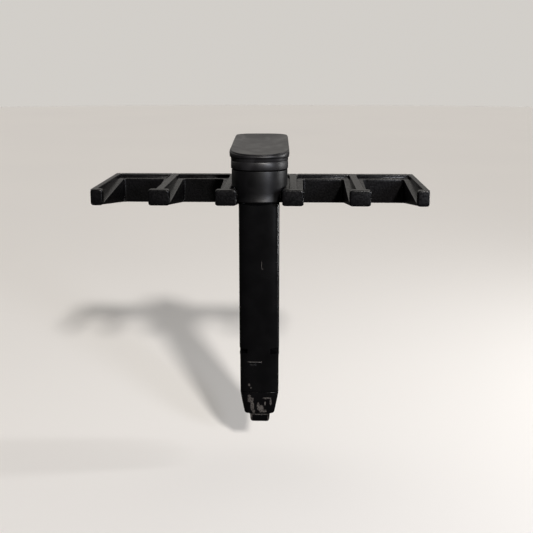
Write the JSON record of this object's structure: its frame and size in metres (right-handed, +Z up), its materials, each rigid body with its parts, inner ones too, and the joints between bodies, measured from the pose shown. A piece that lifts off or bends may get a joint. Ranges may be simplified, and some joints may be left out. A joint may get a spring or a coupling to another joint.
{
  "type": "pegboard storage rack",
  "caption": "Slotted wall rack: a shallow back plate with bracket arms reaching forward, their end flanges closing open cells, and a solid capped display blank hanging in the middle.",
  "frame": {"origin": "centre of the back plate's back face, which bears on the pegboard", "axes": "+X to the right along the rack, +Y into the wall, +Z up"},
  "size_m": [0.1584, 0.0751, 0.1417],
  "materials": {
    "rack_plastic": "black printed plastic with fine layer lines",
    "peg_plastic": "black printed plastic",
    "cap_plastic": "matt moulded black",
    "body_plastic": "satin black with light wear"
  },
  "bodies": {
    "rack": {"back_plate": "rack_plastic", "arm_1": "rack_plastic", "arm_2": "rack_plastic", "arm_3": "rack_plastic", "arm_4": "rack_plastic", "arm_5": "rack_plastic", "arm_6": "rack_plastic", "hook_peg_1": "peg_plastic", "straight_pin_2": "peg_plastic", "straight_pin_3": "peg_plastic", "straight_pin_4": "peg_plastic", "straight_pin_5": "peg_plastic", "hook_peg_6": "peg_plastic"},
    "blank": {"blank_cap": "cap_plastic", "blank_collar": "body_plastic", "blank_body": "body_plastic", "blank_tip": "body_plastic"}
  },
  "joints": [
    {"name": "blank_lift", "type": "slide", "parent": "rack", "child": "blank", "axis": [0, 0, 1], "range_m": [0, 0.122]}
  ]
}
